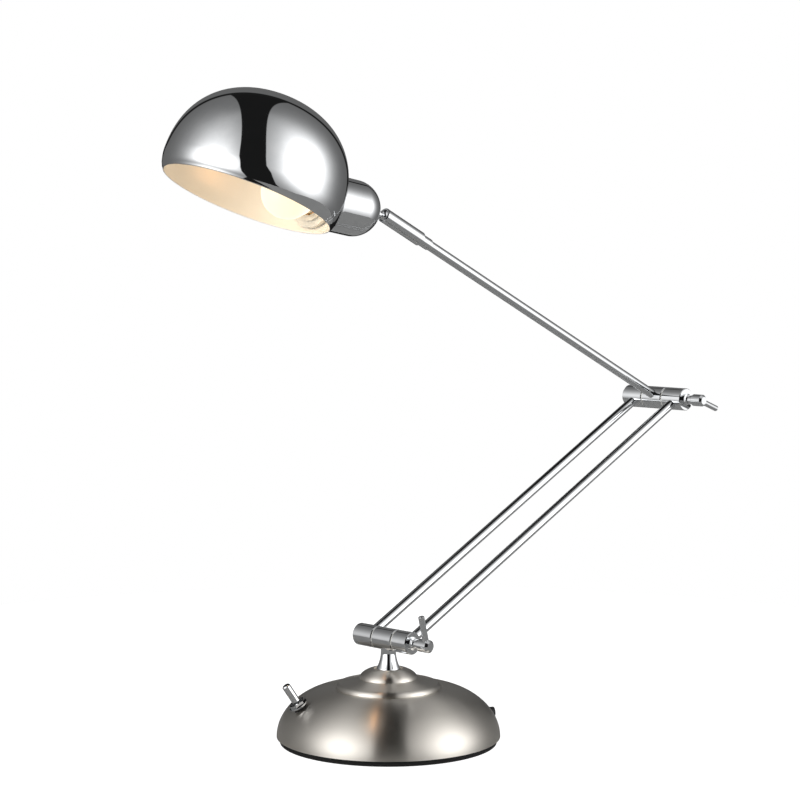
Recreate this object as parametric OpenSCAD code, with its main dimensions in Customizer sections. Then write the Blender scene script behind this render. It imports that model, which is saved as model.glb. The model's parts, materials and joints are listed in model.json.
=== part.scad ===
// Swing arm desk lamp.
// The origin is the centre of the base's underside and +Z is up. The hinge axes lie along Y, the arms
// swing in the XZ plane, and the clamp knobs are at the -Y ends of the hinges.

/* [Base] */
// Radius of the dome's rim
base_r = 100; // [90:1:120]
// Height of the dome's lowest edge above the pad's underside
base_lift = 5; // [4:0.5:8]
// Height of the dome's shoulder above its edge
dome_h = 43.5; // [38:0.5:48]
// Radius of the raised middle tier
tier_r = 47; // [40:1:54]
// Rise of the middle tier's ramp
tier_h = 4; // [3:0.5:10]
// Wall of the spun shell
shell_wall = 1.4; // [1:0.1:2]
// Radius of the cast weight
weight_r = 78; // [60:1:82]
// Thickness of the cast weight
weight_h = 20; // [10:1:22]
// Compass angle of the toggle switch round the base, from +X
toggle_az = 156; // [100:1:200]
// Distance of the toggle switch in from the dome's rim
toggle_in = 17; // [15:1:26]
// Lean of the toggle switch away from the upright
toggle_lean = 33; // [20:1:50]

/* [Arms] */
// Height of the lower hinge's axis
hinge_z = 92; // [90:1:110]
// Distance between the two hinge axes
lower_len = 425; // [320:1:520]
// Distance from the upper hinge's axis to the shade's pivot
upper_len = 422; // [320:1:520]
// Rise of the lower arm at rest
lower_rise = 27.4; // [15:0.1:60]
// Rise of the upper arm at rest, back over the base
upper_rise = 25.3; // [10:0.1:45]
// Radius of the arm tubes
rod_r = 4.5; // [4:0.1:5.5]
// Wall of the arm tubes
rod_wall = 1; // [0.8:0.1:1.5]

/* [Hinges] */
// Radius of the lower hinge's barrel
lower_barrel_r = 10; // [10:0.5:14]
// Radius of the upper hinge's barrel
upper_barrel_r = 11; // [10:0.5:14]
// Width of each outer knuckle
outer_w = 23.5; // [18:0.5:30]
// Width of the lower hinge's knuckle on the knob's side
lower_near_w = 18; // [18:0.5:30]
// Width of each middle knuckle
middle_w = 24; // [18:0.5:30]
// Thickness of a friction washer
washer_t = 0.8; // [0.6:0.1:1.5]
// Radius of the clamp bolts
bolt_r = 3; // [2.5:0.1:4]
// Length of the spacer between barrel and knob
spacer_len = 9; // [8:1:16]
// Radius of the clamp knobs
knob_r = 5.8; // [5:0.1:8]
// Length of the clamp knobs
knob_len = 13; // [12:1:20]
// Length of a knob's lever
lever_len = 24; // [16:1:32]

/* [Head] */
// Rise of the socket above the horizontal at rest
head_pitch = 9.4; // [0:0.1:25]
// Roll of the shade about the socket at rest
head_roll = -5; // [-20:1:20]
// Angle between the socket's axis and the shade's rim plane
socket_dip = 13; // [5:1:20]
// Radius of the shade's rim
rim_r = 73.5; // [65:0.5:90]
// Largest radius of the shade
shade_r = 78; // [70:0.5:95]
// Height of the shade above its rim
shade_h = 91; // [80:1:110]
// Wall of the spun shade
shade_wall = 1; // [0.8:0.1:1.5]
// Radius of the socket cup
cup_r = 24.5; // [22:0.5:28]
// Distance from the pivot to the centre of the cup's round end
cup_at = 40; // [37:0.5:48]
// Radius of the bulb's globe
globe_r = 22.5; // [20:0.5:24]
// Radius of the swivel sleeve
sleeve_r = 6.5; // [6.5:0.1:8]
// Length of the swivel sleeve behind the pivot
sleeve_len = 48; // [40:1:60]

/* [Hidden] */

$fn = 72;
eps = 0.01;                 // pokes a cutter through a face
run_gap = 0.05;             // radial clearance of a running fit
side_gap = 0.1;             // clearance between a washer and the knuckle that turns on it
seat_gap = 0.3;             // clearance between pieces that are stacked loosely
steel = [0.80, 0.80, 0.82];
nickel = [0.55, 0.54, 0.52];
black = [0.05, 0.05, 0.05];
brass = [0.80, 0.66, 0.35];

// ---- base ----
pad_r = base_r - 3;
pad_t = base_lift - seat_gap;
plate_t = 2;
plate_r = base_r - shell_wall - 1;
shoulder_z = base_lift + dome_h;
groove_r = tier_r + 4;
dome_power = 1.15;                     // how far the dome bulges past a straight cone
bead_h = 4.5;                          // round bead at the foot of the middle tier
bead_w = 4;
cap_r = 26;
cap_flat_r = 13.5;
cap_h = 9;
cap_power = 1.5;                       // how far the cap falls short of a round one
recess = 2;                            // the neck stands in a shallow recess
ramp_r = tier_r - bead_w;
ramp_z = shoulder_z + bead_h;
tier_z = ramp_z + tier_h;
cap_z = tier_z + cap_h - recess;       // flat on which the neck stands
nipple_r = 5;
nipple_bore = 3.2;
weight_z = base_lift + plate_t + seat_gap;

// Dome profile: a quarter round from the rim up to the groove
function dome_r(t) = groove_r + (base_r - groove_r) * pow(cos(t), dome_power);
function dome_z(t) = base_lift + dome_h * sin(t);
function base_outline(w) = concat(
    [for (t = [0 : 6 : 84]) [dome_r(t) - w * (0.4 + 0.6 * cos(t)), max(base_lift, dome_z(t) - w * sin(t))]],
    [[groove_r - w, shoulder_z - w]],
    [for (t = [0 : 30 : 90]) [tier_r - w - bead_w * (1 - cos(t)), shoulder_z - w + bead_h * sin(t)]],
    [for (u = [0.2 : 0.2 : 1]) [ramp_r + (cap_r - ramp_r) * u - w, ramp_z + tier_h * u * u - w]],
    [for (t = [15 : 15 : 90])
        [cap_flat_r + w + (cap_r - cap_flat_r - 2 * w) * pow(cos(t), cap_power), tier_z + cap_h * sin(t) - w]]);

module base_solid(w) {
    rotate_extrude() polygon(concat([[0, base_lift]], base_outline(w),
        [[cap_flat_r + w, cap_z - w], [0, cap_z - w]]));
}

// Places children on the dome where the toggle comes through, with +Z along the toggle
toggle_at = base_r - toggle_in;
toggle_z = base_lift + dome_h * sin(acos(pow((toggle_at - groove_r) / (base_r - groove_r), 1 / dome_power)));
module at_toggle() {
    rotate([0, 0, toggle_az]) translate([toggle_at, 0, toggle_z]) rotate([0, toggle_lean, 0]) children();
}

// The cable leaves opposite the toggle, low through the dome's side
inlet_az = toggle_az + 180;
inlet_z = 18;
inlet_bore = 3.2;
gland_r = 5;
gland_in = 9.4;                       // length of the gland inside the dome's surface
inlet_sin = (inlet_z - base_lift) / dome_h;
inlet_r = groove_r + (base_r - groove_r) * pow(sqrt(1 - inlet_sin * inlet_sin), dome_power);
gland_at = inlet_r - gland_in;        // where the inner end of the gland stands
module at_inlet() {
    rotate([0, 0, inlet_az]) translate([gland_at, 0, inlet_z]) rotate([0, 90, 0]) children();
}

toggle_r = 6;                         // threaded barrel of the switch
toggle_seat = 4;                      // switch body's top below the dome's surface
module base_shell() {
    color(nickel) difference() {
        base_solid(0);
        translate([0, 0, -eps]) base_solid(shell_wall);
        translate([0, 0, cap_z - 20]) cylinder(r = nipple_r + run_gap, h = 40);
        at_toggle() cylinder(r = toggle_r + 0.2, h = 30, center = true);
        at_inlet() cylinder(r = gland_r + 0.2, h = 40);
    }
}

module base_pad() {
    color(black) difference() {
        cylinder(r = pad_r, h = pad_t);
        for (a = post_angles) rotate([0, 0, a]) translate([post_at, 0, -eps]) cylinder(r = 6, h = pad_t + 1);
    }
}

// Three posts join the weight to the bottom plate, and screws come up through the plate
post_angles = [90, 210, 330];
post_at = 52;
post_r = 5;
screw_r = 2;
module base_plate() {
    color(steel) translate([0, 0, base_lift]) difference() {
        cylinder(r = plate_r, h = plate_t);
        for (a = post_angles) rotate([0, 0, a]) translate([post_at, 0, -eps])
            cylinder(r = screw_r + 0.2, h = plate_t + 1);
    }
}

module plate_screws() {
    color(steel) for (a = post_angles) rotate([0, 0, a]) translate([post_at, 0, 0]) {
        translate([0, 0, base_lift - 2]) cylinder(r = 4, h = 2);
        translate([0, 0, base_lift - eps]) cylinder(r = screw_r, h = plate_t + 8);
    }
}

module weight_posts() {
    color(steel) for (a = post_angles) rotate([0, 0, a]) translate([post_at, 0, base_lift + plate_t])
        difference() {
            cylinder(r = post_r, h = weight_h + 2);
            translate([0, 0, -eps]) cylinder(r = screw_r + run_gap, h = 10);
        }
}

// The weight is cut away under the switch, at the cable's inlet and round the posts
notch_at = 60;
module base_weight() {
    color([0.2, 0.2, 0.21]) difference() {
        translate([0, 0, weight_z]) cylinder(r = weight_r, h = weight_h);
        translate([0, 0, weight_z - eps]) cylinder(r = 14, h = weight_h + 1);
        for (a = post_angles) rotate([0, 0, a]) translate([post_at, 0, weight_z - eps])
            cylinder(r = post_r + 0.2, h = weight_h + 1);
        for (a = [toggle_az, inlet_az]) rotate([0, 0, a]) translate([notch_at, -13, weight_z - eps])
            cube([weight_r, 26, weight_h + 1]);
    }
}

// ---- toggle switch ----
switch_depth = 17;
module toggle_body() {
    color(black) at_toggle() difference() {
        union() {
            translate([-6, -6, -toggle_seat - switch_depth]) cube([12, 12, switch_depth]);
            translate([0, 0, -toggle_seat - eps]) cylinder(r = toggle_r, h = toggle_seat + 4);
        }
        translate([0, 0, -2]) cylinder(r = 4.4, h = 20);
    }
}

module toggle_nut() {
    color(steel) at_toggle() difference() {
        union() {
            translate([0, 0, 2]) cylinder(r = 8.5, h = 1.2);
            translate([0, 0, 3.2 - eps]) cylinder(r = 7.6, h = 2.6, $fn = 6);
        }
        cylinder(r = toggle_r + run_gap, h = 20);
    }
}

lever_ball = 3.6;
toggle_pivot = 2.5;                   // pivot of the lever above the dome's surface
bat_r = 3.8;
bat_len = 22;
module toggle_lever() {
    color(steel) at_toggle() translate([0, 0, toggle_pivot]) {
        sphere(r = lever_ball);
        rotate_extrude() polygon([[0, 0], [2.6, 0], [2.6, 4], [bat_r, 4.8], [bat_r, bat_len - 1],
            [bat_r - 1, bat_len], [0, bat_len]]);
    }
}

// ---- cable inlet ----
module cable_gland() {
    color(black) at_inlet() difference() {
        union() {
            cylinder(r = gland_r, h = 14);
            cylinder(r = gland_r + 2, h = 2);
        }
        translate([0, 0, -eps]) cylinder(r = inlet_bore, h = 40);
    }
}

module terminal_block() {
    color([0.9, 0.9, 0.88]) translate([0, 0, weight_z + weight_h]) rotate([0, 0, inlet_az]) difference() {
        translate([24, -11, 0]) cube([12, 22, 10]);
        for (y = [-6, 0, 6]) {
            translate([30, y, 3]) cylinder(r = 1.6, h = 10);
            translate([20, y, 5]) rotate([0, 90, 0]) cylinder(r = 1.2, h = 20);
        }
    }
}

// ---- neck ----
neck_foot = cap_z + washer_t + side_gap;
neck_top_r = 6.8;
neck_flare = 3.8;
hole_floor = 7;                        // radial holes in a barrel stop this far from its axis
module base_washer() {
    color([0.9, 0.9, 0.88]) translate([0, 0, cap_z]) difference() {
        cylinder(r = neck_top_r + neck_flare - 0.6, h = washer_t);
        translate([0, 0, -eps]) cylinder(r = nipple_r + run_gap, h = 5);
    }
}

module neck() {
    span = hinge_z - hole_floor - neck_foot;
    land = lower_barrel_r - hole_floor + 1;      // the straight top that stands in the knuckle
    color(steel) translate([0, 0, neck_foot]) difference() {
        rotate_extrude() polygon(concat([[0, 0], [neck_top_r + neck_flare, 0]],
            [for (t = [0 : 0.125 : 1]) [neck_top_r + neck_flare * pow(1 - t, 2), 1 + (span - 1 - land) * t]],
            [[neck_top_r, span], [0, span]]));
        translate([0, 0, -eps]) cylinder(r = nipple_r, h = 8);
        cylinder(r = 3, h = 60);
    }
}

module neck_nipple() {
    color(steel) translate([0, 0, cap_z - 16]) difference() {
        cylinder(r = nipple_r, h = neck_foot + 8 - eps - cap_z + 16);
        translate([0, 0, -eps]) cylinder(r = nipple_bore, h = 60);
    }
}

under_cap = cap_z - shell_wall;
module neck_washer() {
    color(steel) translate([0, 0, under_cap - side_gap - 1.2]) difference() {
        cylinder(r = 9, h = 1.2);
        translate([0, 0, -eps]) cylinder(r = nipple_r, h = 5);
    }
}

module nipple_nut() {
    color(brass) translate([0, 0, under_cap - side_gap - 1.2 - 4]) difference() {
        cylinder(r = 8, h = 4, $fn = 6);
        translate([0, 0, -eps]) cylinder(r = nipple_r, h = 5);
    }
}

// ---- hinges ----
washer_gap = washer_t + side_gap;
outer_y = middle_w / 2 + washer_gap + outer_w / 2;   // where the rods stand each side of the middle
half_barrel = outer_y + outer_w / 2;
lower_near_end = middle_w / 2 + washer_gap + lower_near_w;
lower_dir = lower_rise;
upper_dir = 180 - upper_rise;
elbow = [lower_len * cos(lower_dir), 0, hinge_z + lower_len * sin(lower_dir)];
pivot = elbow + [upper_len * cos(upper_dir), 0, upper_len * sin(upper_dir)];

module at_lower() { translate([0, 0, hinge_z]) children(); }
module at_elbow() { translate(elbow) children(); }
// Turns +Z to point at an angle above +X in the XZ plane
module aim(a) { rotate([0, 90 - a, 0]) children(); }

// A knuckle from y0 to y0 + w, with a through bore and one radial hole at hole_y and angle a
module knuckle(r, y0, w, hole_y, a, hole_r) {
    difference() {
        translate([0, y0, 0]) rotate([-90, 0, 0]) rotate_extrude() polygon([
            [0, 0], [r - 0.6, 0], [r, 0.6], [r, w - 0.6], [r - 0.6, w], [0, w]]);
        translate([0, y0 - 1, 0]) rotate([-90, 0, 0]) cylinder(r = bolt_r + run_gap, h = w + 2);
        translate([0, hole_y, 0]) aim(a) translate([0, 0, hole_floor]) cylinder(r = hole_r, h = r);
    }
}
module knuckle_middle(r, a, hole_r) { knuckle(r, -middle_w / 2, middle_w, 0, a, hole_r); }
module knuckle_far(r, a) { knuckle(r, outer_y - outer_w / 2, outer_w, outer_y, a, rod_r); }
module knuckle_near(r, near_end, a) {
    inner_end = middle_w / 2 + washer_gap;
    knuckle(r, -near_end, near_end - inner_end, -outer_y, a, rod_r);
}

module washers(r) {
    for (s = [-1, 1]) translate([0, s * (middle_w / 2 + washer_t / 2), 0]) rotate([90, 0, 0]) difference() {
        cylinder(r = r - 0.8, h = washer_t, center = true);
        cylinder(r = bolt_r + run_gap, h = washer_t + 1, center = true);
    }
}

head_t = 2.6;
thread_in_knob = 10;
module bolt(r, near_end) {
    translate([0, half_barrel, 0]) rotate([-90, 0, 0]) rotate_extrude() polygon([
        [0, 0], [r - 2, 0], [r - 2, head_t - 1], [r - 3.5, head_t], [0, head_t]]);
    translate([0, half_barrel + eps, 0]) rotate([90, 0, 0])
        cylinder(r = bolt_r, h = half_barrel + near_end + spacer_len + thread_in_knob);
}

spacer_r = 4.4;
module spacer(near_end) {
    translate([0, -near_end, 0]) rotate([90, 0, 0]) difference() {
        rotate_extrude() polygon([[0, 0], [spacer_r + 1.4, 0], [spacer_r + 1.4, 1.6], [spacer_r, 2.4],
            [spacer_r, spacer_len - side_gap], [0, spacer_len - side_gap]]);
        translate([0, 0, -eps]) cylinder(r = bolt_r, h = spacer_len + 1);
    }
}

lever_in = knob_len - 5;              // the lever's axis past the knob's inner end
lever_r = 2.8;
module knob(near_end, a) {
    translate([0, -near_end - spacer_len, 0]) difference() {
        rotate([90, 0, 0]) rotate_extrude() polygon([
            [0, 0], [knob_r - 0.8, 0], [knob_r, 0.8], [knob_r, knob_len - 2], [knob_r - 2, knob_len], [0, knob_len]]);
        translate([0, eps, 0]) rotate([90, 0, 0]) cylinder(r = bolt_r + run_gap, h = thread_in_knob + 1);
        translate([0, -lever_in, 0]) aim(a) translate([0, 0, bolt_r + 1]) cylinder(r = lever_r, h = knob_r);
    }
}

module knob_lever(near_end, a) {
    translate([0, -near_end - spacer_len - lever_in, 0]) aim(a) translate([0, 0, bolt_r + 1])
        rotate_extrude() polygon([[0, 0], [lever_r, 0], [lever_r, lever_len - 0.6],
            [lever_r - 0.6, lever_len], [0, lever_len]]);
}

lower_lever_dir = 104;
upper_lever_dir = -20;
lower_end_dir = lower_dir + 180;      // the lower arm's rods leave the upper hinge this way
module lower_knuckle_middle() { color(steel) at_lower() knuckle_middle(lower_barrel_r, -90, neck_top_r); }
module lower_washers() { color([0.9, 0.9, 0.88]) at_lower() washers(lower_barrel_r); }
module lower_knuckle_near() { color(steel) at_lower() knuckle_near(lower_barrel_r, lower_near_end, lower_dir); }
module lower_knuckle_far() { color(steel) at_lower() knuckle_far(lower_barrel_r, lower_dir); }
module lower_bolt() { color(steel) at_lower() bolt(lower_barrel_r, lower_near_end); }
module lower_spacer() { color(steel) at_lower() spacer(lower_near_end); }
module lower_knob() { color(steel) at_lower() knob(lower_near_end, lower_lever_dir); }
module lower_knob_lever() { color(steel) at_lower() knob_lever(lower_near_end, lower_lever_dir); }
module upper_knuckle_near() { color(steel) at_elbow() knuckle_near(upper_barrel_r, half_barrel, lower_end_dir); }
module upper_knuckle_far() { color(steel) at_elbow() knuckle_far(upper_barrel_r, lower_end_dir); }
module upper_bolt() { color(steel) at_elbow() bolt(upper_barrel_r, half_barrel); }
module upper_spacer() { color(steel) at_elbow() spacer(half_barrel); }
module upper_knob() { color(steel) at_elbow() knob(half_barrel, upper_lever_dir); }
module upper_knob_lever() { color(steel) at_elbow() knob_lever(half_barrel, upper_lever_dir); }
module upper_knuckle_middle() { color(steel) at_elbow() knuckle_middle(upper_barrel_r, upper_dir, rod_r); }
module upper_washers() { color([0.9, 0.9, 0.88]) at_elbow() washers(upper_barrel_r); }

module tube(len) {
    difference() {
        cylinder(r = rod_r, h = len);
        translate([0, 0, -eps]) cylinder(r = rod_r - rod_wall, h = len + 1);
    }
}

module rod(y) {
    at_lower() translate([0, y, 0]) aim(lower_dir) translate([0, 0, hole_floor])
        tube(lower_len - 2 * hole_floor);
}
module rod_near() { color(steel) rod(-outer_y); }
module rod_far() { color(steel) rod(outer_y); }

tube_end = upper_len - sleeve_len - seat_gap;
collar_len = 12;
collar_wall = 0.8;
collar_r = rod_r + collar_wall;
module upper_tube() {
    color(steel) at_elbow() aim(upper_dir) translate([0, 0, hole_floor]) tube(tube_end - hole_floor);
}

module tube_collar() {
    color(steel) at_elbow() aim(upper_dir) translate([0, 0, tube_end - collar_len]) difference() {
        rotate_extrude() polygon([[0, 0], [collar_r - 0.6, 0], [collar_r, 0.6],
            [collar_r, collar_len], [0, collar_len]]);
        translate([0, 0, -eps]) cylinder(r = rod_r, h = collar_len + 1);
    }
}

// ---- shade swivel ----
ball_r = 5;
shank_r = 2.3;
ball_gap = 0.3;
lip = 2;                               // the socket's mouth past the ball's centre
spigot_bore = 2;
sleeve_bore = rod_r - rod_wall + 0.3;
bore_floor = 14;                       // the sleeve's bore stops this far behind the pivot
split = 0.4;                           // joint of sleeve and retainer behind the ball's centre
module at_pivot_arm() { translate(pivot) aim(upper_dir) children(); }

module tube_spigot() {
    color(steel) at_elbow() aim(upper_dir) difference() {
        union() {
            translate([0, 0, tube_end - 15]) cylinder(r = rod_r - rod_wall, h = 15);
            translate([0, 0, tube_end - eps]) cylinder(r = sleeve_bore - run_gap, h = sleeve_len - bore_floor - 1);
        }
        translate([0, 0, tube_end - 16]) cylinder(r = spigot_bore, h = 60);
    }
}

module swivel_sleeve() {
    color(steel) at_pivot_arm() difference() {
        translate([0, 0, -sleeve_len]) rotate_extrude() polygon([[0, 0], [sleeve_r - 0.8, 0], [sleeve_r, 0.8],
            [sleeve_r, sleeve_len - split], [0, sleeve_len - split]]);
        translate([0, 0, -sleeve_len - eps]) cylinder(r = sleeve_bore, h = sleeve_len - bore_floor);
        sphere(r = ball_r + ball_gap);
        translate([0, 0, -bore_floor - 1]) cylinder(r = spigot_bore, h = bore_floor);
    }
}

// A slot in the retainer's lower side lets the shade tip down past the socket's mouth
slot_half = shank_r + seat_gap;
module ball_retainer() {
    color(steel) at_pivot_arm() difference() {
        translate([0, 0, -split]) rotate_extrude() polygon([[0, 0], [sleeve_r, 0], [sleeve_r, lip + split - 0.6],
            [sleeve_r - 0.6, lip + split], [0, lip + split]]);
        sphere(r = ball_r + ball_gap);
        translate([-sleeve_r - 1, -slot_half, -split - eps]) cube([sleeve_r + 1, 2 * slot_half, lip + 1]);
    }
}

// ---- head ----
// Local +X runs from the pivot along the socket, and local +Z is up
module at_head() { translate(pivot) rotate([0, -head_pitch, 180]) rotate([head_roll, 0, 0]) children(); }
module along(x) { translate([x, 0, 0]) rotate([0, 90, 0]) children(); }

cup_wall = 1.3;
pole = cup_at - cup_r;                 // outside of the cup's round end
ring_t = 1.7;
module ball_stud() {
    color(steel) at_head() difference() {
        union() {
            sphere(r = ball_r);
            along(0) cylinder(r = shank_r, h = pole + 9);
            along(pole - 6) cylinder(r = 4.3, h = 6 - 2 * ring_t - side_gap);
        }
        along(-ball_r) cylinder(r = 1.2, h = 60);
    }
}

module stud_ring(x, r) {
    at_head() along(x) difference() {
        cylinder(r = r, h = ring_t);
        translate([0, 0, -eps]) cylinder(r = shank_r, h = 5);
    }
}
module grip_ring() { color(black) stud_ring(pole - 2 * ring_t - side_gap, 4.8); }
module glide_ring() { color([0.9, 0.9, 0.88]) stud_ring(pole - ring_t - side_gap, 4.6); }

nut_r = 5;
module stud_nut() {
    inner = cup_at - sqrt(pow(cup_r - cup_wall, 2) - pow(nut_r, 2));
    color(brass) at_head() along(inner + 0.15) difference() {
        cylinder(r = nut_r, h = 4, $fn = 6);
        translate([0, 0, -eps]) cylinder(r = shank_r, h = 5);
    }
}

// Shade profile: a dome a little fuller than an ellipse, over a lip that draws in to the rim
shade_axis = 155.3;                    // where the socket's axis meets the shade's axis
rim_drop = 13.9;                       // rim plane below that point, along the shade's axis
belly_h = 16;
fullness = 2.25;
module at_shade() {
    at_head() translate([shade_axis, 0, 0]) rotate([0, -socket_dip, 0]) translate([0, 0, -rim_drop]) children();
}
function shade_curve(w, t) = [(shade_r - w) * pow(cos(t), 2 / fullness),
    belly_h + (shade_h - w - belly_h) * pow(sin(t), 2 / fullness)];
function shade_outline(w) = concat([[rim_r - w, 0], [rim_r + 2.6 - w, 5], [shade_r - 0.6 - w, 10]],
    [for (t = [0 : 6 : 84]) shade_curve(w, t)]);
module shade_solid(w, below) {
    rotate_extrude() polygon(concat([[0, -below], [rim_r - w, -below]], shade_outline(w), [[0, shade_h - w]]));
}

holder_r = 19.5;
module shade() {
    color(steel) difference() {
        at_shade() shade_solid(0, 0);
        at_shade() shade_solid(shade_wall, 1);
        at_head() along(60) cylinder(r = holder_r + 0.2, h = 40);
    }
}

cup_end = 73;
module socket_cup() {
    color(steel) at_head() difference() {
        union() {
            translate([cup_at, 0, 0]) sphere(r = cup_r);
            along(cup_at) cylinder(r = cup_r, h = cup_end - cup_at);
        }
        translate([cup_at, 0, 0]) sphere(r = cup_r - cup_wall);
        along(cup_at) cylinder(r = cup_r - cup_wall, h = 60);
        along(0) cylinder(r = shank_r + run_gap, h = 30);
    }
}

// The collar seats on the cup's end and follows the shade's side
collar_out = 27.5;
ring_out = 25;
module cup_collar() {
    color(steel) difference() {
        at_head() along(cup_end) difference() {
            cylinder(r = collar_out, h = 5);
            translate([0, 0, -eps]) cylinder(r = holder_r + 0.2, h = 12);
        }
        at_shade() shade_solid(0, 5);
    }
}

holder_start = 44;
holder_end = 90;
thread_r = 13.6;
module lampholder_body() {
    color([0.93, 0.92, 0.88]) at_head() along(holder_start) difference() {
        union() {
            cylinder(r = holder_r, h = holder_end - holder_start);
            cylinder(r = cup_r - cup_wall - run_gap, h = 4);
        }
        translate([0, 0, 13]) cylinder(r = thread_r + 0.9, h = 60);
        translate([0, 0, -eps]) cylinder(r = 3, h = 20);
    }
}

// The ring screws onto the holder inside the shade and clamps the shade's side against the collar
ring_at = 84.2;
ring_len = 3.5;
module lampholder_ring() {
    color([0.93, 0.92, 0.88]) at_head() along(ring_at) difference() {
        cylinder(r = ring_out, h = ring_len);
        translate([0, 0, -eps]) cylinder(r = holder_r, h = 40);
    }
}

contact_x = holder_start + 13;
module centre_contact() {
    color(brass) at_head() difference() {
        along(contact_x) cylinder(r = 4.5, h = 1.5);
        along(contact_x - 1) cylinder(r = 1, h = 4);
    }
}

module shell_contact() {
    color(brass) at_head() along(contact_x + 6) difference() {
        cylinder(r = thread_r + 0.9, h = 22);
        translate([0, 0, -eps]) cylinder(r = thread_r + 0.4, h = 30);
    }
}

// ---- bulb ----
tip_x = contact_x + 1.5;
bulb_cap_x = tip_x + 4;
bulb_cap_len = 23;
bulb_cap_r = 13.1;
glass_x = bulb_cap_x + bulb_cap_len;
globe_x = glass_x + 30;
glass_wall = 0.8;
module bulb_tip() {
    color(black) at_head() along(tip_x) cylinder(r1 = 3.5, r2 = 8, h = 4);
}

module bulb_cap() {
    color(brass) at_head() along(bulb_cap_x) difference() {
        rotate_extrude() polygon(concat([[0, 0], [8, 0], [bulb_cap_r - 0.8, 3]],
            [for (i = [0 : 4]) each [[bulb_cap_r, 4.5 + i * 3.4], [bulb_cap_r - 0.8, 6.2 + i * 3.4]]],
            [[bulb_cap_r, bulb_cap_len - 1], [bulb_cap_r, bulb_cap_len], [0, bulb_cap_len]]));
        translate([0, 0, 2]) cylinder(r = bulb_cap_r - 2, h = 40);
    }
}

// Globe with a neck that flares smoothly from the cap
neck_glass_r = 12.4;
function globe_r_at(x, w) = let (d = x - (globe_x - glass_x)) sqrt(max(0, pow(globe_r - w, 2) - d * d));
function glass_outline(w) = [for (i = [0 : 1 : 30]) let (x = i * (globe_x - glass_x + globe_r - w) / 30)
    [x < 13 ? neck_glass_r - w + 3.2 * pow(x / 13, 2) * 0.5 : max(globe_r_at(x, w), 0), x]];
module bulb_glass() {
    color([1, 0.93, 0.75]) at_head() along(glass_x) difference() {
        rotate_extrude() polygon(concat([[0, 0]], glass_outline(0)));
        translate([0, 0, -eps]) rotate_extrude() polygon(concat([[0, 0]], glass_outline(glass_wall)));
    }
}

module filament_stem() {
    color([0.8, 0.85, 0.85]) at_head() along(bulb_cap_x + 2 + seat_gap) {
        cylinder(r = 6, h = 12);
        cylinder(r = 2, h = globe_x - bulb_cap_x - 6.5);
    }
}

module filament() {
    color(brass) at_head() along(globe_x - 3.9) rotate_extrude() translate([7, 0]) circle(r = 0.5, $fn = 16);
    color(brass) at_head() for (a = [0, 180]) rotate([a, 0, 0]) translate([globe_x - 3.9, 0, 2])
        cylinder(r = 0.4, h = 5);
}

base_pad();
base_plate();
base_weight();
base_shell();
plate_screws();
weight_posts();
toggle_body();
toggle_nut();
toggle_lever();
cable_gland();
terminal_block();
base_washer();
nipple_nut();
neck_washer();
neck_nipple();
neck();
lower_knuckle_middle();
lower_washers();
lower_knuckle_near();
lower_knuckle_far();
lower_bolt();
lower_spacer();
lower_knob();
lower_knob_lever();
rod_near();
rod_far();
upper_knuckle_near();
upper_knuckle_far();
upper_bolt();
upper_spacer();
upper_knob();
upper_knob_lever();
upper_knuckle_middle();
upper_washers();
upper_tube();
tube_collar();
tube_spigot();
swivel_sleeve();
ball_retainer();
ball_stud();
grip_ring();
glide_ring();
stud_nut();
socket_cup();
cup_collar();
shade();
lampholder_body();
lampholder_ring();
centre_contact();
shell_contact();
bulb_cap();
bulb_tip();
bulb_glass();
filament_stem();
filament();
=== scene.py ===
import json
import math
import bpy
from mathutils import Matrix, Vector

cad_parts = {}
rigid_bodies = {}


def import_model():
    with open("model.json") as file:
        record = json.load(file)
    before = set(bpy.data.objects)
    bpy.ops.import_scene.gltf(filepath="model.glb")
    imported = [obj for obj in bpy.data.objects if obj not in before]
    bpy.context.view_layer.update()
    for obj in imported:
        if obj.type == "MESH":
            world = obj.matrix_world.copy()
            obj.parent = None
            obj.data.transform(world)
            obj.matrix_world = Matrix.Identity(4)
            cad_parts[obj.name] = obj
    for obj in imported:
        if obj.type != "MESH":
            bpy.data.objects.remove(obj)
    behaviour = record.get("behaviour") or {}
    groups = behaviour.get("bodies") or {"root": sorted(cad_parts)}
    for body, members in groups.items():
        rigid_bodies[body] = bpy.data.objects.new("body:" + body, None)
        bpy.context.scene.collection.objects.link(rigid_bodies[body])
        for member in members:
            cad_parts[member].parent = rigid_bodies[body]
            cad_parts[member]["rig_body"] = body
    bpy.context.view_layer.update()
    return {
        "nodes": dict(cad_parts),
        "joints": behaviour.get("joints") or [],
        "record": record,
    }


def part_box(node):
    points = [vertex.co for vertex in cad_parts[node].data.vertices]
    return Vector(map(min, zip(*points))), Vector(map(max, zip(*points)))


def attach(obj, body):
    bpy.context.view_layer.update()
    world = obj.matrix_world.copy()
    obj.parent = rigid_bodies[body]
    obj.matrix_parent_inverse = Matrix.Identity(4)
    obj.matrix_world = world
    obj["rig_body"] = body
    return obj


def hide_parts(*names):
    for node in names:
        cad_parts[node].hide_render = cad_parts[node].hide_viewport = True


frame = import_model()
nodes = frame["nodes"]
joints = {joint["name"]: joint for joint in frame["joints"]}
mm = 0.001
print("frame loaded:", len(nodes), "nodes")


# A hex colour as sRGB, turned to the linear values that shaders use
def hexColor(code):
    parts = [int(code[i:i + 2], 16) / 255 for i in (1, 3, 5)]
    linear = [c / 12.92 if c <= 0.04045 else ((c + 0.055) / 1.055) ** 2.4 for c in parts]
    return (*linear, 1.0)


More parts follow.
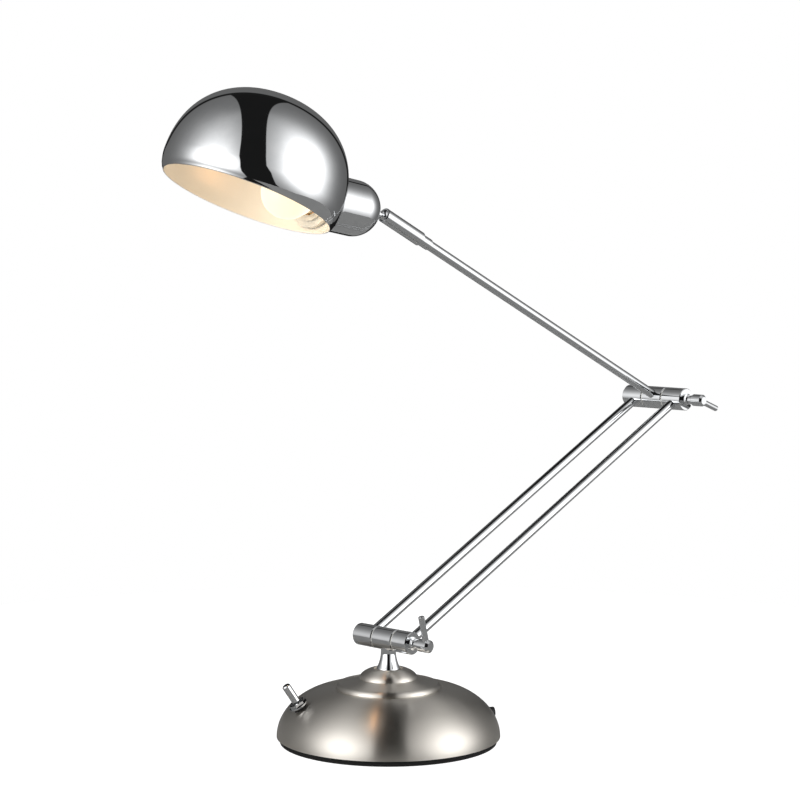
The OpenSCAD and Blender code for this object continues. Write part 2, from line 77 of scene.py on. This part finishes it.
# Adds one node, sets its properties and inputs, and links what is given as a socket
def addNode(tree, kind, settings=None, inputs=None):
    made = tree.nodes.new(kind)
    for key, value in (settings or {}).items():
        setattr(made, key, value)
    for key, value in (inputs or {}).items():
        if isinstance(value, bpy.types.NodeSocket):
            tree.links.new(value, made.inputs[key])
        else:
            made.inputs[key].default_value = value
    return made


def newMaterial(name):
    material = bpy.data.materials.new(name)
    material.use_nodes = True
    tree = material.node_tree
    return material, tree, tree.nodes["Principled BSDF"]


# Chrome plate over polished steel: a near perfect mirror, with faint haze and fine wipe marks
def chromePlate(name="chromePlatedSteel", wipeMm=9):
    material, tree, shader = newMaterial(name)
    place = addNode(tree, "ShaderNodeTexCoord")
    smear = addNode(tree, "ShaderNodeTexNoise", None,
                    {"Vector": place.outputs["Object"], "Scale": 1000 / wipeMm, "Detail": 5})
    haze = addNode(tree, "ShaderNodeMapRange", None,
                   {"Value": smear.outputs["Fac"], "From Min": 0.3, "From Max": 0.75,
                    "To Min": 0.02, "To Max": 0.05})
    tone = addNode(tree, "ShaderNodeMix", {"data_type": "RGBA"},
                   {"Factor": smear.outputs["Fac"], "A": hexColor("#D6D8DA"), "B": hexColor("#E6E7E8")})
    tree.links.new(tone.outputs["Result"], shader.inputs["Base Color"])
    tree.links.new(haze.outputs["Result"], shader.inputs["Roughness"])
    shader.inputs["Metallic"].default_value = 1
    return material


# Nickel plate on spun steel, brushed round the axis: satin, with circular grain
def satinNickel(name="spunSatinNickel", grainMm=0.8):
    material, tree, shader = newMaterial(name)
    place = addNode(tree, "ShaderNodeTexCoord")
    split = addNode(tree, "ShaderNodeSeparateXYZ", None, {"Vector": place.outputs["Object"]})
    radiusX = addNode(tree, "ShaderNodeMath", {"operation": "MULTIPLY"},
                      {0: split.outputs["X"], 1: split.outputs["X"]})
    radiusXY = addNode(tree, "ShaderNodeMath", {"operation": "MULTIPLY_ADD"},
                       {0: split.outputs["Y"], 1: split.outputs["Y"], 2: radiusX.outputs[0]})
    radius = addNode(tree, "ShaderNodeMath", {"operation": "SQRT"}, {0: radiusXY.outputs[0]})
    rings = addNode(tree, "ShaderNodeCombineXYZ", None,
                    {"X": radius.outputs[0], "Y": split.outputs["Z"]})
    grain = addNode(tree, "ShaderNodeTexNoise", None,
                    {"Vector": rings.outputs[0], "Scale": 1000 / grainMm, "Detail": 3})
    cloud = addNode(tree, "ShaderNodeTexNoise", None,
                    {"Vector": place.outputs["Object"], "Scale": 22, "Detail": 3})
    rough = addNode(tree, "ShaderNodeMapRange", None,
                    {"Value": grain.outputs["Fac"], "From Min": 0.3, "From Max": 0.7,
                     "To Min": 0.33, "To Max": 0.36})
    tone = addNode(tree, "ShaderNodeMix", {"data_type": "RGBA"},
                   {"Factor": cloud.outputs["Fac"], "A": hexColor("#DDD8D0"), "B": hexColor("#E7E2DA")})
    bump = addNode(tree, "ShaderNodeBump", None,
                   {"Height": grain.outputs["Fac"], "Strength": 0.01, "Distance": 0.0002})
    tree.links.new(tone.outputs["Result"], shader.inputs["Base Color"])
    tree.links.new(rough.outputs["Result"], shader.inputs["Roughness"])
    tree.links.new(bump.outputs["Normal"], shader.inputs["Normal"])
    shader.inputs["Metallic"].default_value = 1
    shader.inputs["Anisotropic"].default_value = 0.94
    shader.inputs["Anisotropic Rotation"].default_value = 0.25
    return material


# A coated, moulded or cast surface: base colour with mild variation, orange peel or grain as bump
def solidFinish(name, dark, light, rough, grainMm, bumpStrength, metal=0.0, coat=0.0):
    material, tree, shader = newMaterial(name)
    place = addNode(tree, "ShaderNodeTexCoord")
    grain = addNode(tree, "ShaderNodeTexNoise", None,
                    {"Vector": place.outputs["Object"], "Scale": 1000 / grainMm, "Detail": 4})
    tone = addNode(tree, "ShaderNodeMix", {"data_type": "RGBA"},
                   {"Factor": grain.outputs["Fac"], "A": hexColor(dark), "B": hexColor(light)})
    spread = addNode(tree, "ShaderNodeMapRange", None,
                     {"Value": grain.outputs["Fac"], "To Min": rough - 0.05, "To Max": rough + 0.05})
    bump = addNode(tree, "ShaderNodeBump", None,
                   {"Height": grain.outputs["Fac"], "Strength": bumpStrength, "Distance": 0.0003})
    tree.links.new(tone.outputs["Result"], shader.inputs["Base Color"])
    tree.links.new(spread.outputs["Result"], shader.inputs["Roughness"])
    tree.links.new(bump.outputs["Normal"], shader.inputs["Normal"])
    shader.inputs["Metallic"].default_value = metal
    shader.inputs["Coat Weight"].default_value = coat
    return material


# Frosted soda glass, lit from inside: warm, its glow mottled by the frosting
def litGlass(name="litFrostedGlass"):
    material, tree, shader = newMaterial(name)
    place = addNode(tree, "ShaderNodeTexCoord")
    frost = addNode(tree, "ShaderNodeTexNoise", None,
                    {"Vector": place.outputs["Object"], "Scale": 350, "Detail": 3})
    glow = addNode(tree, "ShaderNodeMix", {"data_type": "RGBA"},
                   {"Factor": frost.outputs["Fac"], "A": hexColor("#FBE9CC"), "B": hexColor("#FFF1DA")})
    tree.links.new(glow.outputs["Result"], shader.inputs["Emission Color"])
    shader.inputs["Base Color"].default_value = hexColor("#DCCBAC")
    shader.inputs["Roughness"].default_value = 0.35
    shader.inputs["Emission Strength"].default_value = 0.15
    shader.inputs["IOR"].default_value = 1.52
    return material


def clearGlass(name="drawnClearGlass"):
    material, tree, shader = newMaterial(name)
    shader.inputs["Base Color"].default_value = hexColor("#F4FAFA")
    shader.inputs["Roughness"].default_value = 0.03
    shader.inputs["Transmission Weight"].default_value = 1.0
    shader.inputs["IOR"].default_value = 1.52
    return material


finishes = {
    "chrome": chromePlate(),
    "satin_nickel": satinNickel(),
    "zinc_steel": solidFinish("zincPlatedSteel", "#8E9194", "#A5A8AA", 0.42, 1.5, 0.1, metal=1.0),
    "cast_iron": solidFinish("sandCastIron", "#26272A", "#3A3B3E", 0.75, 1.2, 0.6, metal=0.6),
    "felt_pad": solidFinish("foamRubberPad", "#0B0B0B", "#191919", 0.85, 0.6, 0.5),
    "black_rubber": solidFinish("mouldedRubber", "#0A0A0A", "#151515", 0.6, 0.8, 0.2),
    "black_plastic": solidFinish("mouldedBlackNylon", "#0E0E0F", "#1A1A1B", 0.4, 0.7, 0.15),
    "nylon": solidFinish("mouldedWhiteNylon", "#D9D8D2", "#E8E7E1", 0.42, 0.9, 0.1),
    "white_plastic": solidFinish("glossyPhenolicHolder", "#DCD6C8", "#ECE7DB", 0.22, 2.0, 0.05, coat=0.4),
    "brass": solidFinish("turnedBrass", "#B4924C", "#CBAA63", 0.3, 0.6, 0.1, metal=1.0),
    "bulb_glass": litGlass(),
    "clear_glass": clearGlass(),
    "tungsten": solidFinish("tungstenWire", "#8A7458", "#A58C6A", 0.4, 0.5, 0.1, metal=1.0),
    "enamel": solidFinish("sprayedCreamEnamel", "#FAF2E4", "#FDF7EC", 0.38, 1.6, 0.06, coat=0.2),
}
slotOf = {part["node"]: part["material_slot"] for part in frame["record"]["subparts"]}
for name, node in nodes.items():
    node.data.materials.clear()
    node.data.materials.append(finishes[slotOf[name]])
print("finishes on every frame node")


def deselectAll():
    if bpy.context.object and bpy.context.object.mode != "OBJECT":
        bpy.ops.object.mode_set(mode="OBJECT")
    bpy.ops.object.select_all(action="DESELECT")


def settle(piece, place):
    deselectAll()
    piece.select_set(True)
    bpy.context.view_layer.objects.active = piece
    piece.matrix_world = place
    bpy.ops.object.transform_apply(location=True, rotation=True, scale=True)


# Turns an outline of (radius, height) points in mm into a round piece, as on a lathe
def latheTurn(name, outline, place, steps=128, sharpAngle=32, closed=True):
    deselectAll()
    bpy.ops.mesh.primitive_plane_add(size=mm)
    piece = bpy.context.object
    piece.name = name
    bpy.ops.object.mode_set(mode="EDIT")
    bpy.ops.mesh.select_all(action="SELECT")
    bpy.ops.mesh.merge(type="CENTER")
    start = Vector((outline[0][0], 0, outline[0][1])) * mm
    bpy.ops.transform.translate(value=start)
    path = outline[1:] + ([outline[0]] if closed else [])
    here = outline[0]
    for point in path:
        step = Vector((point[0] - here[0], 0, point[1] - here[1])) * mm
        bpy.ops.mesh.extrude_region_move(TRANSFORM_OT_translate={"value": step})
        here = point
    bpy.ops.mesh.select_all(action="SELECT")
    bpy.ops.mesh.remove_doubles(threshold=1e-6)
    bpy.ops.mesh.spin(steps=steps, angle=2 * math.pi, center=(0, 0, 0), axis=(0, 0, 1))
    bpy.ops.mesh.select_all(action="SELECT")
    bpy.ops.mesh.remove_doubles(threshold=2e-6)
    bpy.ops.mesh.normals_make_consistent(inside=False)
    bpy.ops.object.mode_set(mode="OBJECT")
    settle(piece, place)
    bpy.ops.object.shade_smooth_by_angle(angle=math.radians(sharpAngle))
    return piece


# A stretch of arc as outline points, angles in degrees
def arc(centerR, centerZ, radiusR, radiusZ, start, end, count):
    turns = [math.radians(start + (end - start) * i / count) for i in range(count + 1)]
    return [(centerR + radiusR * math.cos(t), centerZ + radiusZ * math.sin(t)) for t in turns]


def finishPiece(piece, slot, body, *replaced):
    piece.data.materials.append(finishes[slot])
    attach(piece, body)
    if replaced:
        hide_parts(*replaced)
    return piece


# Cuts a round hole of radius r mm through a piece, along its place's Z axis
def cutHole(piece, place, r, low, high):
    deselectAll()
    bpy.ops.mesh.primitive_cylinder_add(vertices=48, radius=r * mm, depth=(high - low) * mm)
    cutter = bpy.context.object
    cutter.matrix_world = place @ Matrix.Translation((0, 0, (low + high) / 2 * mm))
    deselectAll()
    piece.select_set(True)
    bpy.context.view_layer.objects.active = piece
    hole = piece.modifiers.new("roundHole", "BOOLEAN")
    hole.object = cutter
    hole.solver = "EXACT"
    bpy.ops.object.modifier_apply(modifier="roundHole")
    bpy.data.objects.remove(cutter)


def middle(name):
    low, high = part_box(name)
    return (Vector(low) + Vector(high)) / 2


pivot = Vector(joints["shade_roll"]["pos_m"])
socketAxis = Vector(joints["shade_roll"]["axis"])
headRoll = -5
headPlace = (Matrix.Translation(pivot) @ Matrix.Rotation(math.pi, 4, "Z")
             @ Matrix.Rotation(-math.asin(socketAxis.z), 4, "Y")
             @ Matrix.Rotation(math.radians(headRoll), 4, "X"))
alongSocket = headPlace @ Matrix.Rotation(math.pi / 2, 4, "Y")

shadeSizes = {"rimR": 73.5, "bellyR": 78, "height": 91, "bellyH": 16, "wall": 1.0, "fullness": 2.25,
              "axisAt": 155.3, "rimDrop": 13.9, "dip": 13}


# The shade is spun from sheet: chrome outside, sprayed cream inside, with a rounded edge at the rim
def makeShade():
    size = shadeSizes
    power = 2 / size["fullness"]

    def side(inset):
        points = [(size["rimR"] - inset, 0.8), (size["rimR"] + 1.4 - inset, 2.5),
                  (size["rimR"] + 2.7 - inset, 5.4), (size["bellyR"] - 0.8 - inset, 9.5),
                  (size["bellyR"] - 0.2 - inset, 12.8)]
        for i in range(33):
            t = math.radians(i * 90 / 32)
            points.append(((size["bellyR"] - inset) * max(math.cos(t), 0) ** power,
                           size["bellyH"] + (size["height"] - inset - size["bellyH"]) * math.sin(t) ** power))
        points[-1] = (0, points[-1][1])
        return points

    outer = side(0)
    inner = side(size["wall"])
    edge = [(size["rimR"] - 0.1, 0.25), (size["rimR"] - 0.5, 0.02), (size["rimR"] - 0.9, 0.25)]
    outline = outer[::-1] + edge + inner
    place = (headPlace @ Matrix.Translation((size["axisAt"] * mm, 0, 0))
             @ Matrix.Rotation(math.radians(-size["dip"]), 4, "Y")
             @ Matrix.Translation((0, 0, -size["rimDrop"] * mm)))
    piece = latheTurn("shadeDome", outline, place, steps=160, sharpAngle=60, closed=False)
    finishPiece(piece, "chrome", "head", "shade")
    piece.data.materials.append(finishes["enamel"])
    back = place.inverted()
    for face in piece.data.polygons:
        local = back @ face.center
        outward = back.to_3x3() @ face.normal
        radial = Vector((local.x, local.y, local.z - size["bellyH"] * mm))
        if outward.dot(radial) < 0:
            face.material_index = 1
    return piece


makeShade()
print("shade turned")

cupSizes = {"r": 24.5, "at": 40, "end": 73, "wall": 1.3, "poleHole": 2.35, "edge": 0.5}


def makeCup():
    size = cupSizes
    first = math.degrees(math.asin(size["poleHole"] / size["r"]))
    outer = arc(0, size["at"], size["r"], size["r"], first - 90, 0, 28)
    outer += [(size["r"], size["end"] - size["edge"]), (size["r"] - size["edge"], size["end"])]
    innerR = size["r"] - size["wall"]
    inner = [(innerR, size["end"])]
    inner += arc(0, size["at"], innerR, innerR, 0, first - 90, 14)
    piece = latheTurn("socketCupShell", outer + inner, alongSocket, steps=96)
    return finishPiece(piece, "chrome", "head", "socket_cup")


makeCup()
print("socket cup turned")

bulbSizes = {"globeR": 22.5, "capStart": 62.5, "capLen": 23, "globeGap": 30, "neckR": 12.4, "wall": 0.8,
             "glowWatts": 0.03, "sparkWatts": 0.18, "sparkR": 2.5}


def makeBulb():
    size = bulbSizes
    glassStart = size["capStart"] + size["capLen"]
    center = glassStart + size["globeGap"]
    join = 62                                  # degrees from the globe's back where the neck meets it
    meetR = size["globeR"] * math.sin(math.radians(join))
    meetX = center - size["globeR"] * math.cos(math.radians(join))
    slope = math.tan(math.radians(90 - join))
    outline = [(size["neckR"] - 0.5, glassStart)]
    for i in range(1, 12):
        u = i / 12
        h00, h10 = 2 * u ** 3 - 3 * u ** 2 + 1, u ** 3 - 2 * u ** 2 + u
        h01, h11 = -2 * u ** 3 + 3 * u ** 2, u ** 3 - u ** 2
        span = meetX - glassStart
        radius = h00 * size["neckR"] + h10 * span * 0.02 + h01 * meetR + h11 * span * slope
        outline.append((radius, glassStart + span * u))
    outline += arc(0, center, size["globeR"], size["globeR"], join - 90, 88, 29)
    outline.append((0, center + size["globeR"]))
    back = outline[::-1]
    piece = latheTurn("bulbGlobe", back, alongSocket, steps=72, closed=False)
    deselectAll()
    piece.select_set(True)
    bpy.context.view_layer.objects.active = piece
    wall = piece.modifiers.new("glassWall", "SOLIDIFY")
    wall.thickness = size["wall"] * mm
    wall.offset = -1
    bpy.ops.object.modifier_apply(modifier="glassWall")
    finishPiece(piece, "bulb_glass", "head", "bulb_glass")
    # The glow lights the enamel, and the hot wire shows as a streak in the satin base
    for name, watts, color, radius in (("bulbGlow", size["glowWatts"], "#FFF8EC", size["globeR"] + 1.5),
                                       ("wireSpark", size["sparkWatts"], "#FFB163", size["sparkR"])):
        light = bpy.data.lights.new(name, "POINT")
        light.energy = watts
        light.color = hexColor(color)[:3]
        light.shadow_soft_size = radius * mm
        light.use_soft_falloff = False
        lamp = bpy.data.objects.new(name, light)
        bpy.context.scene.collection.objects.link(lamp)
        lamp.location = alongSocket @ Vector((0, 0, center * mm))
        lamp.parent = piece
        lamp.visible_camera = False
        lamp.visible_diffuse = name == "bulbGlow"
    piece.visible_shadow = False
    return piece


makeBulb()
print("bulb blown")

baseSizes = {"r": 100, "lift": 5, "domeH": 43.5, "domePower": 1.15, "grooveR": 51, "tierR": 47, "beadH": 4.5,
             "beadW": 4, "rampH": 4, "capR": 26, "flatR": 13.5, "capH": 9, "capPower": 1.5, "recess": 2,
             "wall": 1.4, "boreR": 5.05, "switchLean": 33, "switchHoleR": 6.2, "inletHoleR": 5.2}


def makeBase():
    size = baseSizes
    shoulder = size["lift"] + size["domeH"]
    ramp = shoulder + size["beadH"]
    rampR = size["tierR"] - size["beadW"]
    tier = ramp + size["rampH"]
    top = tier + size["capH"]

    def outside(inset):
        points = [(size["r"] - inset, size["lift"])]
        for i in range(1, 41):
            t = math.radians(i * 90 / 40)
            points.append((size["grooveR"] - inset * (0.4 + 0.6 * math.cos(t))
                           + (size["r"] - size["grooveR"]) * max(math.cos(t), 0) ** size["domePower"],
                           size["lift"] + size["domeH"] * math.sin(t) - inset * math.sin(t)))
        points += [(size["grooveR"] - 1.2 - inset, shoulder - 0.4 - inset),
                   (size["tierR"] + 0.8 - inset, shoulder - 0.3 - inset)]
        points += arc(rampR - inset, shoulder - inset, size["beadW"], size["beadH"], 0, 90, 10)
        for i in range(1, 13):
            u = i / 12
            points.append((rampR + (size["capR"] - rampR) * u - inset, ramp + size["rampH"] * u * u - inset))
        for degrees in range(6, 91, 6):
            t = math.radians(degrees)
            points.append((size["flatR"] + inset + (size["capR"] - size["flatR"] - 2 * inset)
                           * max(math.cos(t), 0) ** size["capPower"],
                           tier - inset + size["capH"] * math.sin(t)))
        points += [(size["flatR"] - 0.5 + inset, top - 0.3 - inset),
                   (size["flatR"] - 0.8 + inset, top - size["recess"] - inset),
                   (size["boreR"], top - size["recess"] - inset)]
        return points

    outer = outside(0)
    inner = outside(size["wall"])
    piece = latheTurn("baseShellSpun", outer + inner[::-1], Matrix.Identity(4), steps=160, sharpAngle=40)
    switch = Vector(joints["switch_throw"]["pos_m"])
    around = Vector(joints["switch_throw"]["axis"])
    upright = Matrix.Rotation(math.radians(size["switchLean"]), 4, around) @ Vector((0, 0, 1))
    cutHole(piece, Matrix.Translation(switch) @ upright.to_track_quat("Z", "Y").to_matrix().to_4x4(),
            size["switchHoleR"], -12, 8)
    inlet = middle("cable_gland")
    outward = Vector((inlet.x, inlet.y, 0)).normalized()
    cutHole(piece, Matrix.Translation(inlet) @ outward.to_track_quat("Z", "Y").to_matrix().to_4x4(),
            size["inletHoleR"], -12, 20)
    return finishPiece(piece, "satin_nickel", "base", "base_shell")


makeBase()
print("base spun")

# A place on an axis in the XZ plane, with Z along the direction
def aimed(point, direction):
    return Matrix.Translation(point) @ Matrix.Rotation(math.atan2(direction.x, direction.z), 4, "Y")


lowerHinge = Vector(joints["lower_hinge"]["pos_m"])
upperHinge = Vector(joints["upper_hinge"]["pos_m"])
lowerWay = (upperHinge - lowerHinge).normalized()
upperWay = Vector(joints["sleeve_twist"]["axis"])
armSizes = {"tubeR": 4.5, "wall": 1.0, "inset": 7, "collarR": 5.3, "collarLen": 12, "edge": 0.3,
            "sleeveR": 6.5, "sleeveLen": 48, "sleeveBore": 3.8, "seat": 0.3, "ballSeat": 5.3, "split": 0.4,
            "shankHole": 2, "boreEnd": 14}


# Drawn tubes, polished before plating, with the burr taken off their ends
def makeTube(name, point, way, start, end):
    size = armSizes
    outer, bore, edge = size["tubeR"], size["tubeR"] - size["wall"], size["edge"]
    outline = [(bore, start), (outer - edge, start), (outer, start + edge), (outer, end - edge),
               (outer - edge, end), (bore, end)]
    piece = latheTurn(name + "Turned", outline, aimed(point, way), steps=64)
    return finishPiece(piece, "chrome", nodes[name]["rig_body"], name)


lowerSpan = (upperHinge - lowerHinge).length / mm
for name in ("rod_near", "rod_far"):
    aside = Vector((0, middle(name).y, 0))
    makeTube(name, lowerHinge + aside, lowerWay, armSizes["inset"], lowerSpan - armSizes["inset"])
upperSpan = (pivot - upperHinge).length / mm
tubeEnd = upperSpan - armSizes["sleeveLen"] - armSizes["seat"]
makeTube("upper_tube", upperHinge, upperWay, armSizes["inset"], tubeEnd)


def makeSleeve():
    size = armSizes
    length, edge, bore = size["sleeveLen"], 0.5, size["sleeveBore"]
    mouth = math.degrees(math.asin(size["split"] / size["ballSeat"]))
    outline = [(bore, 0), (size["sleeveR"] - edge, 0), (size["sleeveR"], edge),
               (size["sleeveR"], length - size["split"])]
    outline += arc(0, length, size["ballSeat"], size["ballSeat"], -mouth, -67, 12)
    outline += [(size["shankHole"], length - size["boreEnd"]), (bore, length - size["boreEnd"])]
    piece = latheTurn("sleeveTurned", outline, aimed(pivot - upperWay * length * mm, upperWay), steps=72)
    return finishPiece(piece, "chrome", "sleeve", "swivel_sleeve")


makeSleeve()


def makeCollar():
    size = armSizes
    start = tubeEnd - size["collarLen"]
    outline = [(size["tubeR"], start), (size["collarR"] - 0.4, start), (size["collarR"], start + 0.5),
               (size["collarR"], tubeEnd - 0.3), (size["collarR"] - 0.3, tubeEnd), (size["tubeR"], tubeEnd)]
    piece = latheTurn("collarTurned", outline, aimed(upperHinge, upperWay), steps=64)
    return finishPiece(piece, "chrome", "upper_arm", "tube_collar")


makeCollar()
print("tubes, sleeve and collar turned")

neckSizes = {"topR": 6.8, "flare": 3.8, "land": 4, "bore": 3, "nippleR": 5, "nippleIn": 8}


# The neck flares down to its foot like a trumpet
def makeNeck():
    size = neckSizes
    low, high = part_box("neck")
    span = (high[2] - low[2]) / mm
    rise = span - 1 - size["land"]
    outline = [(size["nippleR"], 0), (size["topR"] + size["flare"] - 0.3, 0),
               (size["topR"] + size["flare"], 0.3)]
    outline += [(size["topR"] + size["flare"] * (1 - i / 20) ** 2, 1 + rise * i / 20) for i in range(21)]
    outline += [(size["topR"], span), (size["bore"], span), (size["bore"], size["nippleIn"]),
                (size["nippleR"], size["nippleIn"])]
    place = Matrix.Translation((0, 0, low[2]))
    piece = latheTurn("neckTurned", outline, place, steps=96, sharpAngle=28)
    return finishPiece(piece, "chrome", "neck", "neck")


makeNeck()
print("neck turned")

studio = {"azimuth": -44.34, "elevation": 4.93, "distance": 1.9517, "targetZ": 0.2911, "lens": 99.34,
          "shiftX": 0.0145, "shiftY": 0.0207, "floorR": 0.85, "floorBelow": 0.4, "floorGlow": 0.97,
          "floorColor": "#BCBCBB"}
turn, lift = math.radians(studio["azimuth"]), math.radians(studio["elevation"])
toCamera = Vector((math.sin(turn) * math.cos(lift), -math.cos(turn) * math.cos(lift), math.sin(lift)))
target = Vector((0, 0, studio["targetZ"]))
cameraData = bpy.data.cameras.new("studioCamera")
camera = bpy.data.objects.new("studioCamera", cameraData)
bpy.context.scene.collection.objects.link(camera)
camera.location = target + toCamera * studio["distance"]
camera.rotation_euler = (-toCamera).to_track_quat("-Z", "Y").to_euler()
cameraData.lens = studio["lens"]
cameraData.sensor_width = 36
cameraData.shift_x = studio["shiftX"]
cameraData.shift_y = studio["shiftY"]
cameraData.clip_end = 100
bpy.context.scene.camera = camera

# A pale floor: the camera sees it white, reflections see it as soft grey paper
deselectAll()
bpy.ops.mesh.primitive_circle_add(vertices=96, radius=studio["floorR"], fill_type="NGON",
                                  location=(0, 0, -studio["floorBelow"] * mm))
floor = bpy.context.object
floor.name = "studioFloor"
paper = bpy.data.materials.new("palePaperSweep")
paper.use_nodes = True
paperTree = paper.node_tree
paperTree.nodes.clear()
paperRay = addNode(paperTree, "ShaderNodeLightPath")
paperSeen = addNode(paperTree, "ShaderNodeMath", {"operation": "MULTIPLY"},
                    {0: paperRay.outputs["Is Camera Ray"], 1: studio["floorGlow"]})
paperGlow = addNode(paperTree, "ShaderNodeEmission", None, {"Strength": paperSeen.outputs[0]})
paperShade = addNode(paperTree, "ShaderNodeBsdfDiffuse", None, {"Color": hexColor(studio["floorColor"])})
paperMix = addNode(paperTree, "ShaderNodeAddShader", None,
                   {0: paperGlow.outputs[0], 1: paperShade.outputs[0]})
addNode(paperTree, "ShaderNodeOutputMaterial", None, {"Surface": paperMix.outputs[0]})
floor.data.materials.append(paper)

# The light is painted on the sky: soft panels left and right of the lens, each with a faint one above,
# a dark gap between them that narrows upwards and a dark edge behind, over a grey room. The camera
# itself sees white.
world = bpy.data.worlds.new("studioWorld")
bpy.context.scene.world = world
world.use_nodes = True
worldTree = world.node_tree
worldTree.nodes.clear()
sky = addNode(worldTree, "ShaderNodeTexCoord")
front = Vector((toCamera.x, toCamera.y, 0)).normalized()
aside = Vector((-front.y, front.x, 0))


def toward(axis):
    made = addNode(worldTree, "ShaderNodeVectorMath", {"operation": "DOT_PRODUCT"},
                   {0: sky.outputs["Generated"], 1: axis})
    return made.outputs["Value"]


ahead, across, above = toward(front), toward(aside), toward(Vector((0, 0, 1)))
bearing = addNode(worldTree, "ShaderNodeMath", {"operation": "ARCTAN2"}, {0: across, 1: ahead}).outputs[0]
rise = addNode(worldTree, "ShaderNodeMath", {"operation": "ARCSINE"}, {0: above}).outputs[0]


# A soft round panel at a bearing and rise in degrees, whose strength falls off as a bell curve
def softPanel(panelBearing, panelRise, wide, tall, strength):
    total = None
    for angle, center, spread in ((bearing, panelBearing, wide), (rise, panelRise, tall)):
        off = addNode(worldTree, "ShaderNodeMath", {"operation": "MULTIPLY_ADD"},
                      {0: angle, 1: math.degrees(1) / spread, 2: -center / spread}).outputs[0]
        square = addNode(worldTree, "ShaderNodeMath", {"operation": "MULTIPLY"}, {0: off, 1: off}).outputs[0]
        if total:
            square = addNode(worldTree, "ShaderNodeMath", {"operation": "ADD"},
                             {0: square, 1: total}).outputs[0]
        total = square
    bell = addNode(worldTree, "ShaderNodeMath", {"operation": "POWER"},
                   {0: math.exp(-0.5), 1: total}).outputs[0]
    return addNode(worldTree, "ShaderNodeMath", {"operation": "MULTIPLY"}, {0: bell, 1: strength}).outputs[0]


# 1 between two values of a coordinate and 0 outside, with a narrow soft edge
def between(value, low, high, soft):
    up = addNode(worldTree, "ShaderNodeMapRange", {"interpolation_type": "SMOOTHSTEP"},
                 {"Value": value, "From Min": low - soft, "From Max": low + soft}).outputs["Result"]
    down = addNode(worldTree, "ShaderNodeMapRange", {"interpolation_type": "SMOOTHSTEP"},
                   {"Value": value, "From Min": high + soft, "From Max": high - soft}).outputs["Result"]
    return addNode(worldTree, "ShaderNodeMath", {"operation": "MULTIPLY"}, {0: up, 1: down}).outputs[0]


panels = {"left": (-50, 7, 20, 16, 3.0), "right": (71, 7, 20, 20, 2.9), "leftHigh": (-55, 34, 30, 24, 0.6),
          "rightHigh": (62, 34, 30, 24, 0.5), "room": (0.13, 0.32), "gapNarrows": 0.6,
          "gap": (-0.30, 0.37, 0.012), "gapBack": -0.97, "edge": (-1.0, -0.95, 0.012), "edgeLean": -0.4,
          "gapGlow": 0.012}
room = addNode(worldTree, "ShaderNodeMapRange", None,
               {"Value": ahead, "From Min": -1, "From Max": 1, "To Min": panels["room"][0],
                "To Max": panels["room"][1]}).outputs["Result"]
light = room
for side in ("left", "right", "leftHigh", "rightHigh"):
    light = addNode(worldTree, "ShaderNodeMath", {"operation": "ADD"},
                    {0: light, 1: softPanel(*panels[side])}).outputs[0]
leaning = addNode(worldTree, "ShaderNodeMath", {"operation": "MULTIPLY_ADD"},
                  {0: above, 1: panels["edgeLean"], 2: ahead}).outputs[0]
gapFront = between(leaning, panels["gapBack"], 2, 0.02)
height = addNode(worldTree, "ShaderNodeMath", {"operation": "MAXIMUM"}, {0: above, 1: 0}).outputs[0]
narrowing = addNode(worldTree, "ShaderNodeMath", {"operation": "MULTIPLY_ADD"},
                    {0: height, 1: panels["gapNarrows"], 2: 1}).outputs[0]
gapAcross = addNode(worldTree, "ShaderNodeMath", {"operation": "MULTIPLY"},
                    {0: across, 1: narrowing}).outputs[0]
gap = addNode(worldTree, "ShaderNodeMath", {"operation": "MULTIPLY"},
              {0: between(gapAcross, *panels["gap"]), 1: gapFront}).outputs[0]
edge = between(leaning, *panels["edge"])
dark = addNode(worldTree, "ShaderNodeMath", {"operation": "MAXIMUM"}, {0: gap, 1: edge}).outputs[0]
lit = addNode(worldTree, "ShaderNodeMix", {"data_type": "FLOAT"},
              {"Factor": dark, "A": light, "B": panels["gapGlow"]}).outputs["Result"]
ray = addNode(worldTree, "ShaderNodeLightPath")
seen = addNode(worldTree, "ShaderNodeBackground", None, {"Color": hexColor("#FFFFFF"), "Strength": 1.0})
around = addNode(worldTree, "ShaderNodeBackground", None, {"Color": hexColor("#FFFFFF"), "Strength": lit})
blend = addNode(worldTree, "ShaderNodeMixShader", None,
                {0: ray.outputs["Is Camera Ray"], 1: around.outputs[0], 2: seen.outputs[0]})
addNode(worldTree, "ShaderNodeOutputWorld", None, {"Surface": blend.outputs[0]})
bpy.context.scene.view_settings.view_transform = "Standard"
print("studio set")
